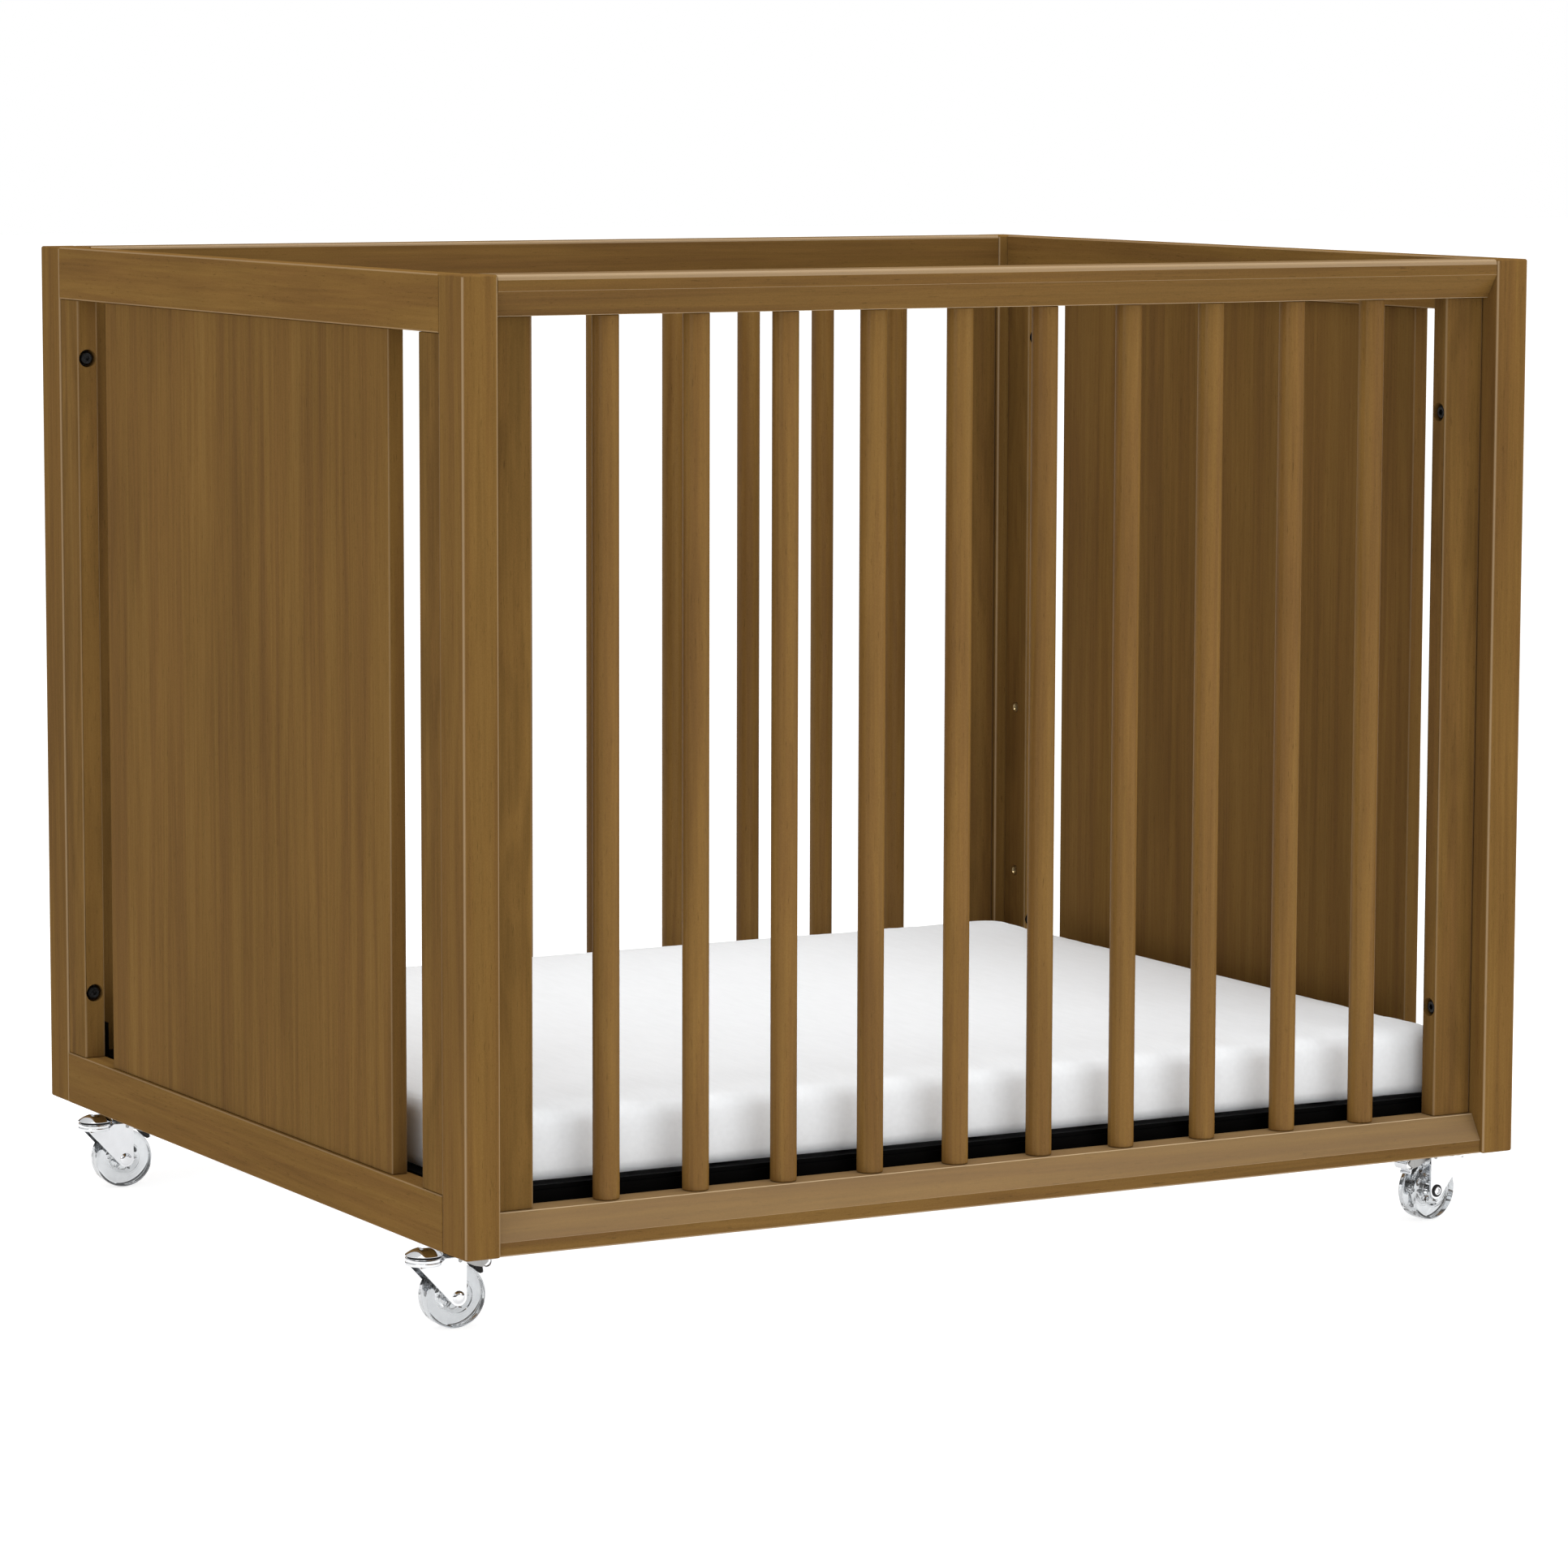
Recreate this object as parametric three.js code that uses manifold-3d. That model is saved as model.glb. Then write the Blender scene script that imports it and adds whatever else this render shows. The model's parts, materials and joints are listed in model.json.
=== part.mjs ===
// Wooden playpen on four swivel casters: four corner posts, slatted front and back, solid end panels,
// a height-adjustable metal mattress support and a mattress.
// Millimetres, +Z up. The origin is on the floor at the middle of the footprint, and -Y is the front.
import * as THREE from "three";
import { mergeVertices } from "three/addons/utils/BufferGeometryUtils.js";
import Module from "manifold-3d";

const wasm = await Module();
wasm.setup();

// Driving dimensions of the wooden frame
const LENGTH = 1016; // outer face to outer face along X
const DEPTH = 864; // outer face to outer face along Y
const POST_HEIGHT = 776;
const POST_X = 31.5;
const POST_Y = 42.3;
const JOINT_GAP = 0.3; // hairline left between pieces that touch
const EDGE_ROUND = 2.6; // rounded-over long edges of posts and stiles

// Slatted front and back
const SIDE_RAIL_HEIGHT = 33;
const SIDE_RAIL_BACK = 42; // the rails' inner faces, measured in from the posts' outer faces
const SIDE_RAIL_SLOPE = 13; // how far the sloping facet runs back
const TOP_RAIL_FACE = 13; // height of the upright facet
const BOTTOM_RAIL_FACE = 11.5;
const TOP_RAIL_INSET = 1.2;
const BOTTOM_RAIL_INSET = 3.6;
const SIDE_STILE_WIDTH = 38.7;
const SIDE_STILE_THICKNESS = 19;
const SIDE_STILE_CENTRE = 29.5; // mid thickness, measured in from the posts' outer faces
const SLATS = 10;
const SLAT_RADIUS = 11;
const SLAT_PITCH = 81.6;
const SLAT_CENTRE = 30.5;

// Solid ends
const END_RAIL_HEIGHT = 46;
const END_RAIL_THICKNESS = 22;
const END_STILE_WIDTH = 38.7;
const END_STILE_THICKNESS = 19.4;
const END_STILE_INSET = 1.2;
const PANEL_THICKNESS = 14;
const PANEL_INSET = 3.2;
const PANEL_MARGIN = 141; // from the posts' outer faces to the panel's upright edges

// Counterbores for the bolts that hold the stiles to the posts, as heights above the posts' lower ends
const SIDE_BOLTS = [128, 645];
const END_BOLTS = [105, 678];
const COUNTERBORE = 8; // radius
const COUNTERBORE_DEPTH = 9;

// Mattress support inserts, in the end stiles' inner faces
const INSERT_HEIGHTS = [62, 152, 314];
const INSERT_HOLE = 4.8; // radius
const INSERT_DEPTH = 14;

// Mattress support and mattress
const SUPPORT_CLEARANCE = 1.5; // from the support to the rails and end stiles
const SUPPORT_BOTTOM = 28;
const SUPPORT_HEIGHT = 18;
const DECK_HEIGHT = 3.8; // upper part of the support, stepped in from the angle
const DECK_STEP = 2;
const SHEET_METAL = 2.2;
const LEDGE = 24; // horizontal leg of the perimeter angle
const BAYS_X = 8; // openings between the straps
const BAYS_Y = 2;
const STRAP_WIDTH = 26;
const BRACKET_WIDTH = 28;
const BRACKET_TOP = 76;
const BRACKET_HOLE = 3.3; // radius
const MATTRESS_LENGTH = 962;
const MATTRESS_DEPTH = 770;
const MATTRESS_BOTTOM = 46.6;
const MATTRESS_HEIGHT = 61;
const MATTRESS_ROUND = 14;

// Casters, with heights measured down from the end rails' undersides
const STEM_INSET = 6.5; // from the end's outer face
const STEM_SETBACK = 89; // from the posts' front and back faces
const STEM_RADIUS = 4.2;
const STEM_LENGTH = 22;
const COLLAR_RADIUS = 4.9;
const PLATE_TOP = -4.8;
const PLATE_RADIUS = 15.5;
const PLATE_BOTTOM = -10.4;
const RACE_TOP = -10.8;
const CUP_TOP = -12;
const RACE_BOTTOM = -18.2;
const LEG_TOP = -12.6;
const LEG_START = -9; // where the legs' slanting edges leave the cup
const LEG_INNER = 11.2; // half the space between the fork's legs
const LEG_THICKNESS = 2;
const LEG_END_RADIUS = 7.3;
const TRAIL = 24.4; // from the stem's axis to the wheel's axle
const AXLE_DROP = 45.2;
const AXLE_RADIUS = 3;
const AXLE_HEAD_RADIUS = 5.4;
const AXLE_HEAD_HEIGHT = 2;
const WHEEL_RADIUS = 26.4;
const WHEEL_HALF_WIDTH = 10.2;
const WHEEL_BORE = 3.3;
const WEB_RADIUS = 13.4;
const WEB_RECESS = 3;
const TREAD_ROUND = 3;
const CASTER_HEIGHT = AXLE_DROP + WHEEL_RADIUS;

// Brake lever, drawn as [distance from the stem's axis, height]
const BRAKE_PIVOT = [26, -15.2];
const BRAKE_BARREL = 2.2;
const BRAKE_PIN = 1.6;
const BRAKE_HALF_WIDTH = 8;
const BRAKE_SHEET = 1.5;
const BRAKE_ROLL = [51.8, -19.3]; // the rolled end that is stepped on
const BRAKE_ROLL_RADIUS = 5.2;
const BRAKE_UNDERSIDE = [[48.5, -23.6], [41, -22], [34.7, -19.2], [25, -17]];
const BRAKE_SHOE = [[40, -20], [50, -22], [49.5, -28.3], [46.8, -28.9], [42, -24], [40, -21.5]];

// Direction in which each caster trails, in degrees from +X
const CASTERS = [
  { name: "front_left", x: -1, y: -1, trails: -1 },
  { name: "front_right", x: 1, y: -1, trails: 190 },
  { name: "back_left", x: -1, y: 1, trails: -4 },
  { name: "back_right", x: 1, y: 1, trails: 184 },
];

const material = (color, roughness, metalness = 0) =>
  new THREE.MeshStandardMaterial({ color, roughness, metalness });
const WALNUT = material(0x70522f, 0.5);
const CHROME = material(0xd8dadd, 0.15, 1);
const CLEAR_PLASTIC = material(0xe6eaec, 0.08);
const BLACK_STEEL = material(0x101011, 0.45);
const SHEET = material(0xf4f4f4, 0.85);

// Geometry helpers

// A solid from a closed three.js geometry, for cutting and joining
function solid(geometry) {
  const plain = geometry.clone();
  plain.deleteAttribute("normal");
  plain.deleteAttribute("uv");
  const merged = mergeVertices(plain, 1e-4);
  return new wasm.Manifold(
    new wasm.Mesh({
      numProp: 3,
      vertProperties: merged.getAttribute("position").array,
      triVerts: new Uint32Array(merged.index.array),
    }),
  );
}

function geometryOf(manifold) {
  const { vertProperties, triVerts, numProp } = manifold.getMesh();
  const geometry = new THREE.BufferGeometry();
  geometry.setAttribute("position", new THREE.BufferAttribute(vertProperties, numProp));
  geometry.setIndex(new THREE.BufferAttribute(triVerts, 1));
  geometry.computeVertexNormals();
  return geometry;
}

const cut = (body, cutters) =>
  geometryOf(cutters.reduce((rest, c) => rest.subtract(solid(c)), solid(body)));
const join = (pieces) =>
  geometryOf(pieces.slice(1).reduce((sum, p) => sum.add(solid(p)), solid(pieces[0])));

// A shape from corners given as [x, y, radius], anticlockwise
function roundedShape(corners) {
  const shape = new THREE.Shape();
  const points = corners.map(([x, y]) => new THREE.Vector2(x, y));
  corners.forEach(([x, y, radius], i) => {
    const before = points.at(i - 1).clone().sub(points[i]).normalize();
    const after = points[(i + 1) % points.length].clone().sub(points[i]).normalize();
    const halfAngle = Math.acos(before.dot(after)) / 2;
    const reach = radius / Math.tan(halfAngle);
    const start = points[i].clone().addScaledVector(before, reach);
    const end = points[i].clone().addScaledVector(after, reach);
    if (i === 0) shape.moveTo(start.x, start.y);
    else shape.lineTo(start.x, start.y);
    if (radius > 0) shape.quadraticCurveTo(x, y, end.x, end.y);
  });
  return shape;
}

function rectangle(x0, x1, y0, y1, radius) {
  return roundedShape([
    [x0, y0, radius],
    [x1, y0, radius],
    [x1, y1, radius],
    [x0, y1, radius],
  ]);
}

// Shape in XY, extruded from z0 to z1; an end round softens the edges of both ends
function upright(shape, z0, z1, curveSegments = 3, endRound = 0) {
  const geometry = new THREE.ExtrudeGeometry(shape, {
    depth: z1 - z0 - 2 * endRound,
    bevelEnabled: endRound > 0,
    bevelSize: endRound,
    bevelThickness: endRound,
    bevelOffset: -endRound,
    bevelSegments: 2,
    curveSegments,
  });
  return geometry.translate(0, 0, z0 + endRound);
}

// Shape drawn in YZ, extruded along X, centred
function lengthwise(shape, length, curveSegments = 3) {
  const toX = new THREE.Matrix4().set(0, 0, 1, 0, 1, 0, 0, 0, 0, 1, 0, 0, 0, 0, 0, 1);
  return upright(shape, -length / 2, length / 2, curveSegments).applyMatrix4(toX);
}

// A cylinder from one point to another, for pins and holes
function rod(from, to, radius, segments = 12) {
  const a = new THREE.Vector3(...from);
  const b = new THREE.Vector3(...to);
  const along = b.clone().sub(a);
  const turn = new THREE.Quaternion().setFromUnitVectors(
    new THREE.Vector3(0, 1, 0),
    along.clone().normalize(),
  );
  return new THREE.CylinderGeometry(radius, radius, along.length(), segments)
    .applyQuaternion(turn)
    .translate(...a.add(b).multiplyScalar(0.5).toArray());
}

function block(x0, x1, y0, y1, z0, z1) {
  return new THREE.BoxGeometry(x1 - x0, y1 - y0, z1 - z0).translate(
    (x0 + x1) / 2,
    (y0 + y1) / 2,
    (z0 + z1) / 2,
  );
}

// Profile of [radius, height] points, turned about Z
function turned(profile, segments) {
  const points = profile.map(([r, h]) => new THREE.Vector2(r, h));
  return new THREE.LatheGeometry(points, segments).rotateX(Math.PI / 2);
}

function piece(name, geometry, finish) {
  const mesh = new THREE.Mesh(geometry, finish);
  mesh.name = name;
  return mesh;
}

// Corner post, centred on its own axis
function post(name, xSide, ySide) {
  const section = rectangle(-POST_X / 2, POST_X / 2, -POST_Y / 2, POST_Y / 2, EDGE_ROUND);
  const mesh = piece(name, upright(section, 0, POST_HEIGHT, 3, 1.6), WALNUT);
  mesh.position.set((xSide * (LENGTH - POST_X)) / 2, (ySide * (DEPTH - POST_Y)) / 2, 0);
  return mesh;
}

// Stile running up from z = 0, from u = 0 at the post to u = width, with a counterbore for a bolt at each
// bolt height, and blind holes for inserts in the face on the insert side of v = 0
function stile(width, thickness, height, boltHeights, insertHeights = [], insertSide = 1) {
  const outline = rectangle(0, width, -thickness / 2, thickness / 2, EDGE_ROUND);
  const counterbores = boltHeights.map((z) => rod(
    [width - COUNTERBORE_DEPTH, 0, z],
    [width + 1, 0, z],
    COUNTERBORE,
    20,
  ));
  const inserts = insertHeights.map((z) => rod(
    [width / 2, insertSide * (thickness / 2 - INSERT_DEPTH), z],
    [width / 2, insertSide * (thickness / 2 + 1), z],
    INSERT_HOLE,
    12,
  ));
  return cut(upright(outline, 0, height), [...counterbores, ...inserts]);
}

// Rail of the slatted sides: an upright facet, then a facet that slopes back towards the slats.
// The slope faces down on a top rail and up on a bottom rail.
function sideRail(isTop, inset) {
  const top = SIDE_RAIL_HEIGHT;
  const corners = isTop
    ? [
        [inset + SIDE_RAIL_SLOPE, 0, 2],
        [SIDE_RAIL_BACK, 0, 2],
        [SIDE_RAIL_BACK, top, 2.6],
        [inset, top, 4.5],
        [inset, top - TOP_RAIL_FACE, 1],
      ]
    : [
        [inset, 0, 1.5],
        [SIDE_RAIL_BACK, 0, 2],
        [SIDE_RAIL_BACK, top, 2],
        [inset + SIDE_RAIL_SLOPE, top, 2.6],
        [inset, BOTTOM_RAIL_FACE, 1],
      ];
  return lengthwise(roundedShape(corners), LENGTH - 2 * POST_X - 2 * JOINT_GAP);
}

// Slatted side drawn as the front: y = 0 is the posts' outer face and +Y points into the playpen
function slattedSide(name, isBack) {
  const side = new THREE.Group();
  const facing = isBack ? -1 : 1;
  const low = SIDE_RAIL_HEIGHT + JOINT_GAP;
  const high = POST_HEIGHT - SIDE_RAIL_HEIGHT - JOINT_GAP;

  side.add(piece(`${name}_bottom_rail`, sideRail(false, BOTTOM_RAIL_INSET), WALNUT));
  const topRail = piece(`${name}_top_rail`, sideRail(true, TOP_RAIL_INSET), WALNUT);
  topRail.position.z = POST_HEIGHT - SIDE_RAIL_HEIGHT;
  side.add(topRail);

  for (const end of [-1, 1]) {
    const label = end * facing < 0 ? "left" : "right";
    const bolts = SIDE_BOLTS.map((z) => z - low);
    const shape = stile(SIDE_STILE_WIDTH, SIDE_STILE_THICKNESS, high - low, bolts);
    const mesh = piece(`${name}_${label}_stile`, shape, WALNUT);
    mesh.position.set(end * (LENGTH / 2 - POST_X - JOINT_GAP), SIDE_STILE_CENTRE, low);
    mesh.rotation.z = end < 0 ? 0 : Math.PI;
    side.add(mesh);
  }

  for (let i = 0; i < SLATS; i++) {
    const slat = piece(
      `${name}_slat_${String(i + 1).padStart(2, "0")}`,
      rod([0, 0, low], [0, 0, high], SLAT_RADIUS, 18),
      WALNUT,
    );
    slat.position.set(facing * (i - (SLATS - 1) / 2) * SLAT_PITCH, SLAT_CENTRE, 0);
    side.add(slat);
  }

  side.position.y = (-facing * DEPTH) / 2;
  side.rotation.z = isBack ? Math.PI : 0;
  return side;
}

// Solid end drawn as the left one: x = 0 is the posts' outer face and +X points into the playpen
function solidEnd(name, isRight) {
  const end = new THREE.Group();
  const facing = isRight ? -1 : 1;
  const halfOpening = DEPTH / 2 - POST_Y - JOINT_GAP;
  const low = END_RAIL_HEIGHT + JOINT_GAP;
  const high = POST_HEIGHT - END_RAIL_HEIGHT - JOINT_GAP;

  const railShape = rectangle(0, END_RAIL_THICKNESS, -halfOpening, halfOpening, 0);
  const rail = upright(railShape, 0, END_RAIL_HEIGHT, 1, 1.2);
  const stemHoles = [-1, 1].map((side) => {
    const y = side * (DEPTH / 2 - STEM_SETBACK);
    return rod([STEM_INSET, y, -1], [STEM_INSET, y, STEM_LENGTH + 1], STEM_RADIUS + JOINT_GAP, 12);
  });
  end.add(piece(`${name}_end_bottom_rail`, cut(rail, stemHoles), WALNUT));
  const topRail = piece(`${name}_end_top_rail`, rail.clone(), WALNUT);
  topRail.position.z = POST_HEIGHT - END_RAIL_HEIGHT;
  end.add(topRail);

  const halfPanel = DEPTH / 2 - PANEL_MARGIN;
  const panelShape = rectangle(
    PANEL_INSET,
    PANEL_INSET + PANEL_THICKNESS,
    -halfPanel,
    halfPanel,
    1.8,
  );
  end.add(piece(`${name}_end_panel`, upright(panelShape, low, high), WALNUT));

  for (const side of [-1, 1]) {
    const label = side * facing < 0 ? "front" : "back";
    const inserts = INSERT_HEIGHTS.map((z) => z - low);
    const bolts = END_BOLTS.map((z) => z - low);
    const shape = stile(END_STILE_WIDTH, END_STILE_THICKNESS, high - low, bolts, inserts, side);
    const mesh = piece(`${name}_end_${label}_stile`, shape, WALNUT);
    mesh.position.set(END_STILE_INSET + END_STILE_THICKNESS / 2, side * halfOpening, low);
    mesh.rotation.z = (-side * Math.PI) / 2;
    end.add(mesh);
  }

  end.position.x = (-facing * LENGTH) / 2;
  end.rotation.z = isRight ? Math.PI : 0;
  return end;
}

// Perimeter angle of sheet metal with a stepped-in deck of straps, and a bracket at each end stile
function mattressSupport() {
  const halfX = LENGTH / 2 - END_RAIL_THICKNESS - SUPPORT_CLEARANCE;
  const halfY = DEPTH / 2 - POST_Y - SUPPORT_CLEARANCE;
  const top = SUPPORT_BOTTOM + SUPPORT_HEIGHT;
  const ledge = top - SHEET_METAL;

  const deckX = halfX - DECK_STEP;
  const deckY = halfY - DECK_STEP;
  const angle = block(-halfX, halfX, -halfY, halfY, SUPPORT_BOTTOM, top - DECK_HEIGHT);
  const deck = block(-deckX, deckX, -deckY, deckY, SUPPORT_BOTTOM, top);
  const innerX = deckX - SHEET_METAL;
  const innerY = deckY - SHEET_METAL;
  const hollow = block(-innerX, innerX, -innerY, innerY, SUPPORT_BOTTOM - 1, ledge);
  const pitchX = (2 * (halfX - LEDGE) + STRAP_WIDTH) / BAYS_X;
  const pitchY = (2 * (halfY - LEDGE) + STRAP_WIDTH) / BAYS_Y;
  const bays = [];
  for (let i = 0; i < BAYS_X; i++) {
    for (let j = 0; j < BAYS_Y; j++) {
      const x = -halfX + LEDGE + i * pitchX;
      const y = -halfY + LEDGE + j * pitchY;
      bays.push(block(x, x + pitchX - STRAP_WIDTH, y, y + pitchY - STRAP_WIDTH, ledge - 1, top + 1));
    }
  }

  const brackets = [];
  const bracketHoles = [];
  const bracketY = DEPTH / 2 - POST_Y - JOINT_GAP - END_STILE_WIDTH / 2;
  const half = BRACKET_WIDTH / 2;
  for (const x of [-1, 1]) {
    for (const y of [-bracketY, bracketY]) {
      const [x0, x1] = [x * (halfX - 0.2), x * (halfX - 0.2 - SHEET_METAL)].sort((a, b) => a - b);
      const height = INSERT_HEIGHTS[0];
      brackets.push(block(x0, x1, y - half, y + half, top - DECK_HEIGHT - 1, BRACKET_TOP));
      bracketHoles.push(rod([x0 - 1, y, height], [x1 + 1, y, height], BRACKET_HOLE));
    }
  }
  const frame = cut(join([angle, deck]), [hollow, ...bays]);
  return piece("mattress_support", cut(join([frame, ...brackets]), bracketHoles), BLACK_STEEL);
}

function mattress() {
  const outline = rectangle(
    -MATTRESS_LENGTH / 2,
    MATTRESS_LENGTH / 2,
    -MATTRESS_DEPTH / 2,
    MATTRESS_DEPTH / 2,
    MATTRESS_ROUND * 2,
  );
  const top = MATTRESS_BOTTOM + MATTRESS_HEIGHT;
  return piece("mattress", upright(outline, MATTRESS_BOTTOM, top, 4, MATTRESS_ROUND), SHEET);
}

// Caster pieces, drawn with the stem's axis on Z, z = 0 at the rail's underside, trailing towards +X

function stemPlate() {
  return turned(
    [
      [0, PLATE_BOTTOM],
      [PLATE_RADIUS, PLATE_BOTTOM],
      [PLATE_RADIUS, PLATE_BOTTOM + 1],
      [10.5, PLATE_TOP - 1.8],
      [COLLAR_RADIUS, PLATE_TOP],
      [STEM_RADIUS, PLATE_TOP + 0.8],
      [STEM_RADIUS, STEM_LENGTH],
      [0, STEM_LENGTH],
    ],
    20,
  );
}

// One leg's outline in XZ: upright on the trailing side, slanting on the stem side, round at the axle
function legShape() {
  const shape = new THREE.Shape();
  const tangent = (221 * Math.PI) / 180;
  shape.moveTo(TRAIL + LEG_END_RADIUS, LEG_TOP);
  shape.lineTo(LEG_START, LEG_TOP);
  shape.lineTo(LEG_START, RACE_BOTTOM);
  shape.lineTo(
    TRAIL + LEG_END_RADIUS * Math.cos(tangent),
    -AXLE_DROP + LEG_END_RADIUS * Math.sin(tangent),
  );
  shape.absarc(TRAIL, -AXLE_DROP, LEG_END_RADIUS, tangent, 2 * Math.PI, false);
  const pinHole = new THREE.Path();
  pinHole.absarc(...BRAKE_PIVOT, BRAKE_PIN + JOINT_GAP, 0, 2 * Math.PI, true);
  shape.holes.push(pinHole);
  return shape;
}

function fork() {
  const toXZ = new THREE.Matrix4().makeRotationX(Math.PI / 2);
  const leg = upright(legShape(), 0, LEG_THICKNESS, 4).applyMatrix4(toXZ);
  const outer = LEG_INNER + LEG_THICKNESS;
  const race = turned(
    [
      [0, RACE_BOTTOM],
      [PLATE_RADIUS - 3, RACE_BOTTOM],
      [PLATE_RADIUS, RACE_BOTTOM + 0.8],
      [PLATE_RADIUS, CUP_TOP],
      [PLATE_RADIUS - 2.3, CUP_TOP],
      [PLATE_RADIUS - 2.3, RACE_TOP],
      [0, RACE_TOP],
    ],
    20,
  );
  const bridge = block(-8, 17, -outer, outer, RACE_BOTTOM + 0.6, LEG_TOP - 0.2);
  const head = outer + AXLE_HEAD_HEIGHT;
  return join([
    race,
    bridge,
    leg.clone().translate(0, -LEG_INNER, 0),
    leg.clone().translate(0, outer, 0),
    rod([TRAIL, -outer - 0.5, -AXLE_DROP], [TRAIL, outer + 0.5, -AXLE_DROP], AXLE_RADIUS, 12),
    rod([TRAIL, -head, -AXLE_DROP], [TRAIL, -outer + 0.5, -AXLE_DROP], AXLE_HEAD_RADIUS, 12),
    rod([TRAIL, outer - 0.5, -AXLE_DROP], [TRAIL, head, -AXLE_DROP], AXLE_HEAD_RADIUS, 12),
  ]);
}

// Wheel turned about Y through the axle: rounded tread, recessed web and a bored hub
function wheel() {
  const w = WHEEL_HALF_WIDTH;
  const r = WHEEL_RADIUS;
  const half = [
    [WHEEL_BORE, w - WEB_RECESS],
    [WEB_RADIUS, w - WEB_RECESS],
    [WEB_RADIUS + 1, w],
    [r - TREAD_ROUND, w],
    [r, w - TREAD_ROUND],
  ];
  const mirrored = half.map(([radius, h]) => [radius, -h]).reverse();
  const profile = [...half, ...mirrored, half[0]].reverse();
  return turned(profile, 20)
    .rotateX(-Math.PI / 2)
    .translate(TRAIL, 0, -AXLE_DROP);
}

// Shape drawn in XZ, extruded between two places along Y
function sideways(points, y0, y1) {
  const shape = new THREE.Shape(points.map(([x, z]) => new THREE.Vector2(x, z)));
  return upright(shape, -y1, -y0).applyMatrix4(new THREE.Matrix4().makeRotationX(Math.PI / 2));
}

// Brake lever: a sheet channel on a barrel with a pin through the fork's legs, its end rolled up,
// and a shoe over the tread
function brakeLever() {
  const [px, pz] = BRAKE_PIVOT;
  const [rx, rz] = BRAKE_ROLL;
  const wide = BRAKE_HALF_WIDTH;
  const barrel = LEG_INNER - JOINT_GAP;
  const pin = LEG_INNER + LEG_THICKNESS - JOINT_GAP;
  const top = [
    [px - 1, pz + BRAKE_BARREL],
    [rx, rz + BRAKE_ROLL_RADIUS],
  ];
  const under = top.map(([x, z]) => [x, z - BRAKE_SHEET]).reverse();
  const cheek = [...top, [rx + 3, rz], ...BRAKE_UNDERSIDE];
  return join([
    sideways([...top, ...under], -wide, wide),
    sideways(cheek, -wide, -wide + BRAKE_SHEET),
    sideways(cheek, wide - BRAKE_SHEET, wide),
    sideways(BRAKE_SHOE, -wide + 1, wide - 1),
    rod([rx, -wide, rz], [rx, wide, rz], BRAKE_ROLL_RADIUS, 14),
    rod([px, -barrel, pz], [px, barrel, pz], BRAKE_BARREL, 12),
    rod([px, -pin, pz], [px, pin, pz], BRAKE_PIN, 10),
  ]);
}

function caster({ name, x, y, trails }) {
  const unit = new THREE.Group();
  unit.add(
    piece(`caster_${name}_stem`, stemPlate(), CHROME),
    piece(`caster_${name}_fork`, fork(), CHROME),
    piece(`caster_${name}_wheel`, wheel(), CLEAR_PLASTIC),
    piece(`caster_${name}_brake`, brakeLever(), BLACK_STEEL),
  );
  unit.position.set(x * (LENGTH / 2 - STEM_INSET), y * (DEPTH / 2 - STEM_SETBACK), 0);
  unit.rotation.z = (trails * Math.PI) / 180;
  return unit;
}

// Assembly, raised so that the wheels stand on z = 0
const playpen = new THREE.Group();
playpen.position.z = CASTER_HEIGHT;
for (const [ySide, depthName] of [[-1, "front"], [1, "back"]]) {
  for (const [xSide, lengthName] of [[-1, "left"], [1, "right"]]) {
    playpen.add(post(`${depthName}_${lengthName}_post`, xSide, ySide));
  }
}
playpen.add(slattedSide("front", false), slattedSide("back", true));
playpen.add(solidEnd("left", false), solidEnd("right", true));
playpen.add(mattressSupport(), mattress());
CASTERS.forEach((c) => playpen.add(caster(c)));

export default playpen;
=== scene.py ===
"""Looks of a wooden playpen on casters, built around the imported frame.

Metres, +Z up. The front is -Y and the left end is -X. Bolts, inserts and caster pieces are drawn in
millimetres, each in its own frame. A caster's frame has the stem's axis on Z, z = 0 at the end rail's
underside and the wheel trailing towards +X.
"""

import json
import math

import bmesh
import bpy
from mathutils import Matrix, Vector


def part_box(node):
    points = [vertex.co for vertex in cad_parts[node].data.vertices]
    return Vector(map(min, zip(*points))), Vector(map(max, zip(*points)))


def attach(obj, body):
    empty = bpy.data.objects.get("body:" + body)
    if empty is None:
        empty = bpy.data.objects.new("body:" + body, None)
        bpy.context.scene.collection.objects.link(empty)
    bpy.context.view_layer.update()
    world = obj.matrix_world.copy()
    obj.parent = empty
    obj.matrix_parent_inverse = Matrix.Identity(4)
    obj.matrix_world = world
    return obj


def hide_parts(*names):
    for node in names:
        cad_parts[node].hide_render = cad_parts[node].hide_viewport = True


MM = 0.001
FULL_TURN = 2 * math.pi

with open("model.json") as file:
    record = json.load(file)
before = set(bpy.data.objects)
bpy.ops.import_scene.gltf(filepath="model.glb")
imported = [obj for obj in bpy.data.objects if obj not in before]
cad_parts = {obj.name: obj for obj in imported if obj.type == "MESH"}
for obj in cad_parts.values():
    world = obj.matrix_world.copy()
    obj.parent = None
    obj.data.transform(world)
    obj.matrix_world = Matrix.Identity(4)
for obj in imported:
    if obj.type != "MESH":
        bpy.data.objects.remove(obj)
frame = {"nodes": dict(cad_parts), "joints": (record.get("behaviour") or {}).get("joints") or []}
nodes = frame["nodes"]
joints = {joint["name"]: joint for joint in frame["joints"]}
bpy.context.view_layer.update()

# ---------------------------------------------------------------- materials


def linear(hex_colour):
    """An sRGB colour such as "70502a" as linear RGBA."""
    channels = [int(hex_colour[i : i + 2], 16) / 255 for i in (0, 2, 4)]
    return (*[c / 12.92 if c <= 0.04045 else ((c + 0.055) / 1.055) ** 2.4 for c in channels], 1)


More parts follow.
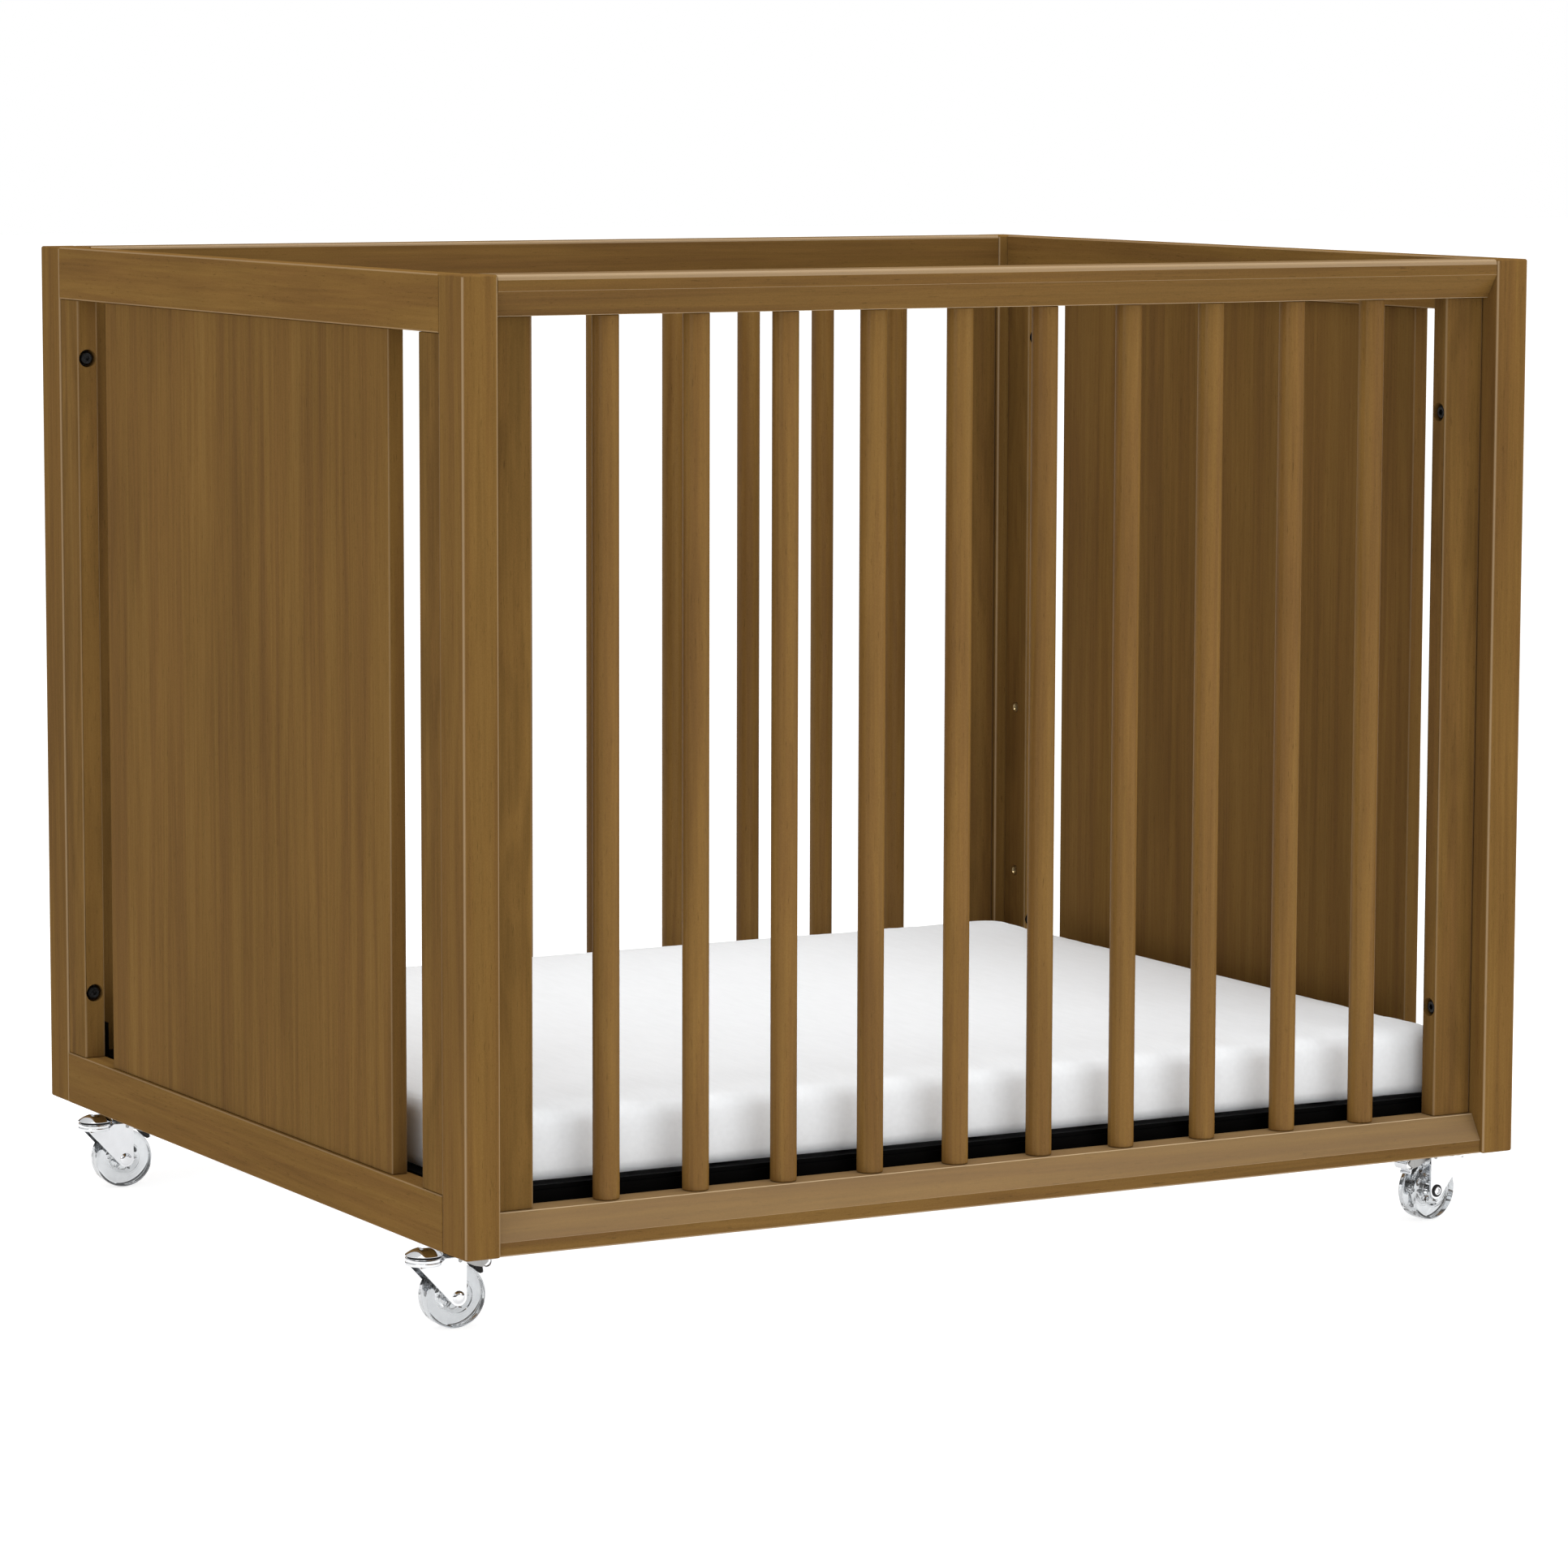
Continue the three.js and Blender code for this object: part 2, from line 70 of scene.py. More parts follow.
class Shader:
    """A node material, with short calls for the nodes that the finishes share."""

    def __init__(self, name, **constants):
        self.material = bpy.data.materials.new(name)
        self.material.use_nodes = True
        self.tree = self.material.node_tree
        self.surface = self.tree.nodes["Principled BSDF"]
        for socket, value in constants.items():
            self.surface.inputs[socket.replace("_", " ")].default_value = value

    def node(self, kind, inputs, **settings):
        made = self.tree.nodes.new(kind)
        for name, value in settings.items():
            setattr(made, name, value)
        for socket, value in inputs.items():
            if isinstance(value, bpy.types.NodeSocket):
                self.tree.links.new(value, made.inputs[socket])
            else:
                made.inputs[socket].default_value = value
        return made

    def place(self, scale=(1, 1, 1), offset=(0, 0, 0)):
        """Positions in the row frame, scaled and moved."""
        coordinates = self.node("ShaderNodeTexCoord", {}).outputs["Object"]
        return self.node(
            "ShaderNodeMapping", {"Vector": coordinates, "Scale": scale, "Location": offset}
        ).outputs["Vector"]

    def noise(self, vector, scale, detail=2.0, roughness=0.5, distortion=0.0):
        return self.node(
            "ShaderNodeTexNoise",
            {
                "Vector": vector,
                "Scale": scale,
                "Detail": detail,
                "Roughness": roughness,
                "Distortion": distortion,
            },
        ).outputs["Fac"]

    def ramp(self, factor, stops):
        """Colour stops as (position, colour)."""
        made = self.node("ShaderNodeValToRGB", {"Fac": factor})
        elements = made.color_ramp.elements
        while len(elements) < len(stops):
            elements.new(1)
        for element, (position, colour) in zip(elements, stops):
            element.position = position
            element.color = colour
        return made.outputs["Color"]

    def grey_ramp(self, factor, low, high, low_value, high_value):
        """Maps low..high to two values, clamped."""
        return self.node(
            "ShaderNodeMapRange",
            {
                "Value": factor,
                "From Min": low,
                "From Max": high,
                "To Min": low_value,
                "To Max": high_value,
            },
        ).outputs["Result"]

    def blend(self, factor, first, second, kind="MIX"):
        """Mixes two colours, each a socket or a value."""
        made = self.node(
            "ShaderNodeMix", {"Factor": factor}, data_type="RGBA", blend_type=kind
        )
        colours = [socket for socket in made.inputs if socket.type == "RGBA"]
        for socket, value in zip(colours, (first, second)):
            if isinstance(value, bpy.types.NodeSocket):
                self.tree.links.new(value, socket)
            else:
                socket.default_value = value
        return next(socket for socket in made.outputs if socket.type == "RGBA")

    def multiply(self, colour, by):
        return self.blend(1.0, colour, by, "MULTIPLY")

    def math(self, operation, first, second):
        return self.node(
            "ShaderNodeMath", {0: first, 1: second}, operation=operation
        ).outputs["Value"]

    def edge_and_slope_light_mask(self, grain, sloping=False):
        """Mask of painted highlight and wear: one on a squared piece's long rounded edges, nought on its
        flat faces and its ends.
        With sloping, a slope that faces up gets some too, as painted light from above.
        """
        normal = self.node("ShaderNodeTexCoord", {}).outputs["Normal"]
        parts = self.node("ShaderNodeSeparateXYZ", {"Vector": normal}).outputs
        sides = [self.math("ABSOLUTE", parts[axis], 0.0) for axis in "XYZ"]
        endwise = self.grey_ramp(sides[grain], 0.05, 0.3, 1.0, 0.0)
        x, y, z = sides
        flat = self.math("MAXIMUM", self.math("MAXIMUM", x, y), z)
        if sloping:
            facet = self.math(
                "ADD", self.math("MULTIPLY", y, SLOPE_Y), self.math("MULTIPLY", z, SLOPE_Z)
            )
            flat = self.math("MAXIMUM", flat, facet)
        # The rounded edges take the pale tint: painted highlight, with some wear
        edge = self.grey_ramp(flat, 0.992, 0.965 if sloping else 0.87, 0.0, 1.0)
        # A slope that faces up is lightened too: painted light from above
        if sloping:
            painted_top_light = self.grey_ramp(parts["Z"], 0.3, 0.5, 0.0, SLOPE_PAINTED_LIGHT)
            edge = self.math("MAXIMUM", edge, painted_top_light)
        return self.math("MULTIPLY", edge, endwise)

    def bump(self, height, strength, distance, after=None):
        inputs = {"Height": height, "Strength": strength, "Distance": distance}
        if after is not None:
            inputs["Normal"] = after
        return self.node("ShaderNodeBump", inputs).outputs["Normal"]

    def finish(self, **linked):
        for socket, value in linked.items():
            self.tree.links.new(value, self.surface.inputs[socket.replace("_", " ")])
        return self.material


def wood(name, grain, seed, tone=1.0, edges=1.0, figure=0.0, coat=0.04, sloping=False):
    """Satin walnut stain on close-grained wood.

    grain is the axis, 0 to 2, that the fibres run along. edges says how far the rounded edges go
    toward the pale tint, which is partly wear and partly painted highlight, and figure how dark the
    waves across the grain are. sloping is for rails with a slope, and also lightens a slope that faces
    up, as painted light from above.
    """

    def stretched(share):
        scale = [1.0, 1.0, 1.0]
        scale[grain] = share
        return shader.place(scale, (seed * 3.71, seed * 1.93, seed * 5.37))

    shader = Shader(
        name,
        Specular_IOR_Level=0.0,
        Coat_Weight=coat,
        Coat_Roughness=0.16,
        Coat_IOR=1.36,
    )
    bands = shader.noise(stretched(0.035), 55, detail=4, roughness=0.6, distortion=0.7)
    clouds = shader.noise(stretched(0.35), 8, detail=3, roughness=0.5)
    fibres = shader.noise(stretched(0.025), 330, detail=4, roughness=0.65)
    pores = shader.noise(stretched(0.09), 900, detail=2, roughness=0.6)
    speckle = shader.noise(stretched(0.6), 1100, detail=1)

    stain = shader.ramp(
        bands,
        [
            (0.32, linear(DARK_STAIN)),
            (0.46, linear(RED_STAIN)),
            (0.56, linear(MID_STAIN)),
            (0.74, linear(LIGHT_STAIN)),
        ],
    )
    shade = shader.grey_ramp(clouds, 0.3, 0.7, 0.9 * tone, 1.1 * tone)
    streak = shader.grey_ramp(fibres, 0.3, 0.7, 0.9, 1.08)
    pore = shader.grey_ramp(pores, 0.62, 0.74, 1.0, 0.7)
    fleck = shader.grey_ramp(speckle, 0.3, 0.75, 0.94, 1.05)
    lines = shader.math("MULTIPLY", streak, pore)
    mottle = shader.math("MULTIPLY", shade, fleck)
    colour = shader.multiply(stain, shader.math("MULTIPLY", lines, mottle))
    if figure:
        waves = shader.noise(stretched(0.16), 46, detail=2, roughness=0.4, distortion=1.2)
        colour = shader.multiply(colour, shader.grey_ramp(waves, 0.35, 0.6, 1 - figure, 1.0))
    # Rounded edges go toward the pale tint as painted highlight and wear; on sloping rails a slope that
    # faces up does too, as painted light from above
    if edges:
        wear_and_painted_light = shader.math("MULTIPLY", shader.edge_and_slope_light_mask(grain, sloping), edges)
        colour = shader.blend(wear_and_painted_light, colour, linear(PALE_WEAR_AND_HIGHLIGHT))
    roughness = shader.grey_ramp(fibres, 0.3, 0.7, 0.36, 0.46)
    relief = shader.bump(fibres, 0.12, 0.0003)
    relief = shader.bump(pores, 0.08, 0.0002, after=relief)
    return shader.finish(Base_Color=colour, Roughness=roughness, Normal=relief)


DARK_STAIN = "6b4e2a"
RED_STAIN = "72542c"
MID_STAIN = "77592e"
LIGHT_STAIN = "7c5e32"
# Pale tint for rounded edges, partly wear and partly painted highlight, and for slopes that face up,
# painted light from above
PALE_WEAR_AND_HIGHLIGHT = "bda686"
SLOPE_PAINTED_LIGHT = 0.2  # how far a slope that faces up is lightened toward the pale tint: painted light from above
SLOPE_Y, SLOPE_Z = 0.838, 0.545  # the sizes of the side rails' slope normal along Y and Z


def powder_coat():
    """Black powder coat: a fine orange-peel surface."""
    shader = Shader("black_powder_coat", Roughness=0.5, Specular_IOR_Level=0.03)
    peel = shader.noise(shader.place(), 900, detail=2)
    dust = shader.noise(shader.place(), 14, detail=4)
    colour = shader.ramp(dust, [(0.35, linear("020202")), (0.7, linear("050505"))])
    return shader.finish(Base_Color=colour, Normal=shader.bump(peel, 0.25, 0.0002))


def sheet_cotton():
    """White fitted sheet: a fine plain weave with a little fuzz."""
    shader = Shader("white_cotton", Roughness=0.85, Sheen_Weight=0.25, Sheen_Roughness=0.5)
    weave = [
        shader.node(
            "ShaderNodeTexWave",
            {"Vector": shader.place(), "Scale": 500.0, "Distortion": 0.6, "Detail": 1.0},
            wave_type="BANDS",
            bands_direction=direction,
        ).outputs["Fac"]
        for direction in ("X", "Y")
    ]
    threads = shader.math("MULTIPLY", *weave)
    slubs = shader.noise(shader.place((1, 0.15, 1)), 260, detail=3)
    colour = shader.ramp(slubs, [(0.3, linear("f2f5f8")), (0.7, linear("f6f9fc"))])
    return shader.finish(Base_Color=colour, Normal=shader.bump(threads, 0.12, 0.0002))


def metal(name, colour, roughness, brushed=0.0, dull=0.0):
    """Bare or plated metal, with fine handling marks in its gloss."""
    shader = Shader(name, Metallic=1.0)
    marks = shader.noise(shader.place((1, 1, 0.2)), 900, detail=3, roughness=0.7)
    haze = shader.noise(shader.place(), 60, detail=3)
    gloss = shader.math(
        "ADD",
        shader.grey_ramp(marks, 0.3, 0.7, roughness, roughness + brushed),
        shader.grey_ramp(haze, 0.4, 0.7, 0.0, dull),
    )
    shade = shader.grey_ramp(haze, 0.3, 0.7, 0.94, 1.03)
    return shader.finish(Base_Color=shader.multiply(linear(colour), shade), Roughness=gloss)


def black_oxide():
    shader = Shader("black_oxide", Roughness=0.32, Metallic=0.6)
    wear = shader.noise(shader.place(), 300, detail=3)
    colour = shader.ramp(wear, [(0.4, linear("0d0d0e")), (0.75, linear("232425"))])
    return shader.finish(Base_Color=colour, Roughness=shader.grey_ramp(wear, 0.3, 0.7, 0.25, 0.42))


def rubber():
    shader = Shader("black_rubber", Roughness=0.7)
    grain = shader.noise(shader.place(), 700, detail=2)
    colour = shader.ramp(grain, [(0.35, linear("0b0b0b")), (0.7, linear("181818"))])
    return shader.finish(Base_Color=colour, Normal=shader.bump(grain, 0.3, 0.0002))


def clear_plastic():
    """Polished clear plastic with a faint scuff on the gloss."""
    shader = Shader("clear_plastic", Transmission_Weight=1.0, IOR=1.49)
    scuffs = shader.noise(shader.place(), 240, detail=3)
    colour = shader.ramp(scuffs, [(0.3, linear("c9cccf")), (0.7, linear("d2d5d7"))])
    return shader.finish(
        Base_Color=colour, Roughness=shader.grey_ramp(scuffs, 0.4, 0.75, 0.01, 0.05)
    )


UP_GRAIN, X_GRAIN, Y_GRAIN = 2, 0, 1
# edges sets how far each wood's rounded edges take the pale tint: painted highlight, with wear
POST_WOOD = wood("walnut_posts", UP_GRAIN, 1, 0.96, edges=0.4)
STILE_WOOD = wood("walnut_stiles", UP_GRAIN, 2, 0.92, edges=0.2, figure=0.18)
SLAT_WOOD = wood("walnut_slats", UP_GRAIN, 3, 1.1, edges=0, coat=0.2)
PANEL_WOOD = wood("walnut_panels", UP_GRAIN, 4, 0.92, edges=0.2)
SIDE_RAIL_WOOD = wood("walnut_side_rails", X_GRAIN, 5, 0.88, edges=0.9, coat=0.15, sloping=True)
END_RAIL_WOOD = wood("walnut_end_rails", Y_GRAIN, 6, 1.03, edges=0.25)
BLACK_STEEL = powder_coat()
COTTON = sheet_cotton()
CHROME = metal("chrome", "e6e7e9", 0.04, brushed=0.03, dull=0.03)
ZINC = metal("brake_zinc", "a6a5a3", 0.3, brushed=0.1, dull=0.1)
INSERT_METAL = metal("insert_metal", "b8a47c", 0.25, brushed=0.1, dull=0.1)
BLACK_OXIDE = black_oxide()
RUBBER = rubber()
CLEAR = clear_plastic()

# ---------------------------------------------------------------- mesh helpers


def mesh_object(name, vertices, faces, material, smooth=True):
    mesh = bpy.data.meshes.new(name)
    mesh.from_pydata([tuple(v) for v in vertices], [], faces)
    mesh.validate()
    shell = bmesh.new()
    shell.from_mesh(mesh)
    bmesh.ops.recalc_face_normals(shell, faces=shell.faces)
    shell.to_mesh(mesh)
    shell.free()
    mesh.materials.append(material)
    made = bpy.data.objects.new(name, mesh)
    bpy.context.scene.collection.objects.link(made)
    if smooth:
        mesh.shade_smooth()
        mesh.set_sharp_from_angle(angle=math.radians(42))
    return made


def filleted(points, closed=False, steps=5):
    """Points as (x, y) or (x, y, radius): each radius becomes an arc."""
    out = []
    count = len(points)
    for i, point in enumerate(points):
        corner = Vector(point[:2])
        radius = point[2] if len(point) > 2 else 0
        at_end = not closed and i in (0, count - 1)
        if radius <= 0 or at_end:
            out.append(corner)
            continue
        before = (Vector(points[i - 1][:2]) - corner).normalized()
        after = (Vector(points[(i + 1) % count][:2]) - corner).normalized()
        half_angle = before.angle(after) / 2
        reach = radius / math.tan(half_angle)
        centre = corner + (before + after).normalized() * radius / math.sin(half_angle)
        first = corner + before * reach - centre
        last = corner + after * reach - centre
        sweep = first.angle_signed(last)
        for k in range(steps + 1):
            turn = Matrix.Rotation(-sweep * k / steps, 2)
            out.append(centre + turn @ first)
    return out


def turned(name, profile, material, segments=64, closed=False):
    """A surface of revolution about Z. The profile's radii may be functions of the angle."""
    rings = []
    vertices = []
    for radius, height in profile:
        if not callable(radius) and radius < 1e-9:
            rings.append([len(vertices)] * segments)
            vertices.append((0, 0, height))
            continue
        ring = []
        for i in range(segments):
            angle = FULL_TURN * i / segments
            r = radius(angle) if callable(radius) else radius
            ring.append(len(vertices))
            vertices.append((r * math.cos(angle), r * math.sin(angle), height))
        rings.append(ring)
    pairs = list(zip(rings, rings[1:]))
    if closed:
        pairs.append((rings[-1], rings[0]))
    faces = []
    for lower, upper in pairs:
        for i in range(segments):
            j = (i + 1) % segments
            corners = [lower[i], lower[j], upper[j], upper[i]]
            faces.append(list(dict.fromkeys(corners)))
    return mesh_object(name, vertices, [f for f in faces if len(f) > 2], material)


def extruded(name, outline, low, high, material):
    """An outline in XY between two heights."""
    count = len(outline)
    vertices = [(x, y, z) for z in (low, high) for x, y in outline]
    faces = [list(range(count)), list(range(count, 2 * count))]
    faces += [[i, (i + 1) % count, (i + 1) % count + count, i + count] for i in range(count)]
    return mesh_object(name, vertices, faces, material)


def edged(made, width, segments=2, angle=40):
    """Eases a piece's edges, and keeps its flat faces flat."""
    bevel = made.modifiers.new("eased_edges", "BEVEL")
    bevel.width = width
    bevel.segments = segments
    bevel.limit_method = "ANGLE"
    bevel.angle_limit = math.radians(angle)
    made.modifiers.new("flat_faces", "WEIGHTED_NORMAL").keep_sharp = True
    return made


def settle(made, matrix, body):
    """Puts a piece drawn in its own frame in its place, and rides it on its body."""
    for modifier in made.modifiers:
        if modifier.type == "BEVEL":
            modifier.width *= MM
        if modifier.type == "SOLIDIFY":
            modifier.thickness *= MM
    made.data.transform(matrix)
    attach(made, body)
    return made


# ---------------------------------------------------------------- the wooden frame


def carried_over(node, material, edge, angle=40):
    """A CAD node that stays: merged, its flat faces joined, its edges eased."""
    made = nodes[node]
    made.data.materials.clear()
    made.data.materials.append(material)
    if "custom_normal" in made.data.attributes:
        made.data.attributes.remove(made.data.attributes["custom_normal"])
    made.data.shade_smooth()
    made.modifiers.new("merged", "WELD").merge_threshold = 0.00002
    flat = made.modifiers.new("flat", "DECIMATE")
    flat.decimate_type = "DISSOLVE"
    flat.angle_limit = math.radians(0.5)
    edged(made, edge, angle=angle)


# For each kind of name: the wood, how far its edges are eased, and the least angle, in degrees, that
# is eased
WOOD_OF = {
    "_post": (POST_WOOD, 0.0006, 40),
    "_stile": (STILE_WOOD, 0.0006, 40),
    "_panel": (PANEL_WOOD, 0.0006, 40),
    "_slat": (SLAT_WOOD, 0.0009, 15),
    "end_top_rail": (END_RAIL_WOOD, 0.0013, 40),
    "end_bottom_rail": (END_RAIL_WOOD, 0.0013, 40),
    "_rail": (SIDE_RAIL_WOOD, 0.0013, 9),
}


def finish_wood():
    for node in nodes:
        kind = node.rstrip("_0123456789")
        wooden = next((kept for ending, kept in WOOD_OF.items() if kind.endswith(ending)), None)
        if wooden:
            carried_over(node, *wooden)


# ---------------------------------------------------------------- fasteners


def facing(direction, position):
    """A frame for pieces in mm: Z points along a direction, the origin is at a position in metres."""
    turn = Vector(direction).to_track_quat("Z", "Y").to_matrix().to_4x4()
    return Matrix.Translation(Vector(position)) @ turn @ Matrix.Scale(MM, 4)


def hexagon(across_flats):
    """The radius of a hexagonal socket as a function of the angle."""
    return lambda angle: across_flats / 2 / math.cos(angle % (FULL_TURN / 6) - FULL_TURN / 12)


def hex_bolt(name, head_radius, head_top, depth):
    """A button-head bolt with a hex socket and a washer, its seat at z = -depth."""
    socket = head_radius * 0.78
    profile = filleted(
        [
            (0, -depth),
            (head_radius + 1.0, -depth),
            (head_radius + 1.0, -depth + 1.2, 0.3),
            (head_radius, -depth + 1.2),
            (head_radius, head_top - 1.2, 0.6),
            (head_radius - 1.2, head_top, 0.8),
            (socket / 2 + 1.0, head_top, 0.3),
            (socket / 2 + 0.75, head_top - 0.3),
        ],
        steps=4,
    )
    rings = [tuple(p) for p in profile]
    rings += [(hexagon(socket), head_top - 0.35), (hexagon(socket), head_top - 2.6)]
    rings += [(socket * 0.25, head_top - 3.0), (0, head_top - 3.3)]
    return turned(name, rings, BLACK_OXIDE, segments=48)


# Heights above the posts' lower ends, and depths into the frame, as the counterbores and inserts are cut
SIDE_BOLT_HEIGHTS = (128, 645)
END_BOLT_HEIGHTS = (105, 678)
INSERT_HEIGHTS = (62, 152, 314)
COUNTERBORE_DEPTH = 9
BOLT_HEAD_RADIUS = 5.9
BOLT_HEAD_TOP = -2.4
SUPPORT_BOLT_RADIUS = 5.0
SUPPORT_BOLT_TOP = 3.4
BRACKET_THICKNESS = 2.6


def frame_bolt(name, direction, x, y, z):
    bolt = hex_bolt(name, BOLT_HEAD_RADIUS, BOLT_HEAD_TOP, COUNTERBORE_DEPTH)
    settle(bolt, facing(direction, (x, y, z)), "frame")


def frame_bolts():
    """Two bolts in each stile, in the edge that faces the opening."""
    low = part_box("front_left_post")[0].z
    for side in ("front", "back"):
        for end, sign in (("left", 1), ("right", -1)):
            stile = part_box(f"{side}_{end}_stile")
            x = stile[1].x if sign > 0 else stile[0].x
            y = (stile[0].y + stile[1].y) / 2
            for i, height in enumerate(SIDE_BOLT_HEIGHTS):
                name = f"{side}_{end}_bolt_{i + 1}"
                frame_bolt(name, (sign, 0, 0), x, y, low + height * MM)
    for end in ("left", "right"):
        for side, sign in (("front", 1), ("back", -1)):
            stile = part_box(f"{end}_end_{side}_stile")
            x = (stile[0].x + stile[1].x) / 2
            y = stile[1].y if sign > 0 else stile[0].y
            for i, height in enumerate(END_BOLT_HEIGHTS):
                name = f"{end}_end_{side}_bolt_{i + 1}"
                frame_bolt(name, (0, sign, 0), x, y, low + height * MM)


def insert(name):
    """A flanged threaded insert, flush with the wood."""
    thread = [(2.95 + 0.3 * (i % 2), -0.9 - 0.6 * i) for i in range(16)]
    flange = [(4.3, -0.6), (4.75, -0.5), (4.75, 0.15), (3.5, 0.25)]
    profile = [(4.3, -13.0), *flange, *thread, (2.9, -13.0)]
    return turned(name, profile, INSERT_METAL, segments=40, closed=True)


def support_fixings():
    """Threaded inserts at each height in the end stiles, and the support's bolts in the lowest ones."""
    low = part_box("front_left_post")[0].z
    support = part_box("mattress_support")
    for end, sign in (("left", 1), ("right", -1)):
        for side in ("front", "back"):
            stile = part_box(f"{end}_end_{side}_stile")
            face = stile[1].x if sign > 0 else stile[0].x
            y = (stile[0].y + stile[1].y) / 2
            for i, height in enumerate(INSERT_HEIGHTS):
                place = facing((sign, 0, 0), (face, y, low + height * MM))
                settle(insert(f"{end}_{side}_insert_{i + 1}"), place, "frame")
            bracket = (support[0].x if sign > 0 else support[1].x) + sign * BRACKET_THICKNESS * MM
            name = f"{end}_{side}_support_bolt"
            bolt = hex_bolt(name, SUPPORT_BOLT_RADIUS, SUPPORT_BOLT_TOP, 0)
            place = facing((sign, 0, 0), (bracket, y, low + INSERT_HEIGHTS[0] * MM))
            settle(bolt, place, "mattress_platform")


# ---------------------------------------------------------------- casters

STEM_RADIUS = 4.2
COLLAR_RADIUS = 4.9
PLATE_RADIUS = 15.5
PLATE_RIM = -10.3
DOME_TOP = -4.8
CUP_TOP = -12.0
CUP_BOTTOM = -18.2
LEG_START = -9
LEG_TOP = -12.6
LEG_INNER = 11.2
SHEET = 2
LEG_END_RADIUS = 7.3
WHEEL_RADIUS = 26.4
HALF_WIDTH = 10.2
WEB_RADIUS = 13.4
SPOKES = 6
BRAKE_PIVOT = (26, -15.2)
BRAKE_HALF_WIDTH = 8
BRAKE_SHEET = 1.5
BRAKE_ROLL = (51.8, -19.3)
BRAKE_ROLL_RADIUS = 5.2


def caster_frame(name):
    """The caster's own frame, from its joints, and the axle's place in it, in mm."""
    swivel = Vector(joints[f"{name}_swivel"]["pos_m"])
    roll = Vector(joints[f"{name}_roll"]["pos_m"])
    trail = Vector((roll.x - swivel.x, roll.y - swivel.y, 0))
    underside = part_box("left_end_bottom_rail")[0].z
    turn = Matrix.Rotation(math.atan2(trail.y, trail.x), 4, "Z")
    place = Matrix.Translation((swivel.x, swivel.y, underside)) @ turn @ Matrix.Scale(MM, 4)
    return place, Vector((trail.length / MM, 0, (roll.z - underside) / MM))


def stem_piece(name):
    """Stem on a domed disc with a rolled lip."""
    run = PLATE_RADIUS - 0.3 - COLLAR_RADIUS
    dome = [
        (COLLAR_RADIUS + run * t / 12, DOME_TOP + (PLATE_RIM + 0.7 - DOME_TOP) * (t / 12) ** 1.6)
        for t in range(13)
    ]
    neck = filleted([(0, 22), (STEM_RADIUS, 22, 0.8), (STEM_RADIUS, DOME_TOP + 0.2, 0.8), dome[0]])
    lip = filleted(
        [
            dome[-1],
            (PLATE_RADIUS, PLATE_RIM + 0.4, 0.3),
            (PLATE_RADIUS, PLATE_RIM - 0.1, 0.3),
            (PLATE_RADIUS - 1.4, PLATE_RIM - 0.1, 0.3),
            (PLATE_RADIUS - 1.6, PLATE_RIM + 0.3),
            (0, PLATE_RIM + 0.3),
        ]
    )
    profile = [tuple(p) for p in [*neck[:-1], *dome[:-1], *lip]]
    return turned(f"caster_{name}_stem_and_disc", profile, CHROME, 72)


# A black rubber ring in the gap between the disc and the cup. Its black also stands in for the shade in
# that gap: partly a real seal, partly painted shade
def shaded_gap_seal(name):
    top, bottom, radius = PLATE_RIM + 0.1, CUP_TOP - 0.6, PLATE_RADIUS - 2.0
    profile = [(0, top), (radius, top), (radius, bottom), (0, bottom)]
    return turned(f"caster_{name}_shaded_gap_seal", profile, RUBBER, 48)


def cup(name):
    """Lower race: a pressed cup with a rolled rim and a bead round its side."""
    waist = (CUP_TOP + CUP_BOTTOM) / 2 - 0.3
    profile = filleted(
        [
            (0, CUP_TOP - 0.8),
            (PLATE_RADIUS - 2.4, CUP_TOP - 0.8, 0.3),
            (PLATE_RADIUS - 1.8, CUP_TOP, 0.4),
            (PLATE_RADIUS - 0.2, CUP_TOP, 0.7),
            (PLATE_RADIUS, waist + 0.7, 0.8),
            (PLATE_RADIUS - 0.6, waist, 0.3),
            (PLATE_RADIUS, waist - 0.5, 0.4),
            (PLATE_RADIUS, CUP_BOTTOM, 1.2),
            (PLATE_RADIUS - 3, CUP_BOTTOM - 0.5),
            (0, CUP_BOTTOM - 0.5),
        ]
    )
    return turned(f"caster_{name}_cup", [tuple(p) for p in profile], CHROME, 72)


def fork(name, axle):
    """One bent sheet: a plate under the cup, and two slanting legs that are round at the axle."""
    top = CUP_BOTTOM + 0.4
    back = axle.x + LEG_END_RADIUS
    plate_end = 9
    shoulder = (LEG_START, CUP_BOTTOM - 1.2)
    tangent = math.radians(221)
    arc = [
        (
            axle.x + LEG_END_RADIUS * math.cos(a),
            axle.z + LEG_END_RADIUS * math.sin(a),
        )
        for a in [tangent + (FULL_TURN - tangent) * i / 10 for i in range(11)]
    ]
    free_edge = [(back, LEG_TOP), (plate_end + 4, LEG_TOP), (plate_end, LEG_TOP - 3)]
    outline = [(LEG_START, top), shoulder, *arc, *free_edge, (plate_end, top)]
    count = len(outline)
    half = LEG_INNER + SHEET / 2
    vertices = [(x, side * half, z) for side in (-1, 1) for x, z in outline]
    faces = [list(range(count)), list(range(2 * count - 1, count - 1, -1))]
    faces.append([0, count - 1, 2 * count - 1, count])
    made = mesh_object(f"caster_{name}_fork_sheet", vertices, faces, CHROME)
    bend = made.modifiers.new("bends", "BEVEL")
    bend.width = 2.4
    bend.segments = 5
    bend.limit_method = "ANGLE"
    bend.angle_limit = math.radians(60)
    thick = made.modifiers.new("sheet", "SOLIDIFY")
    thick.thickness = SHEET
    thick.offset = 0
    edged(made, 0.35, segments=2, angle=50)
    return made


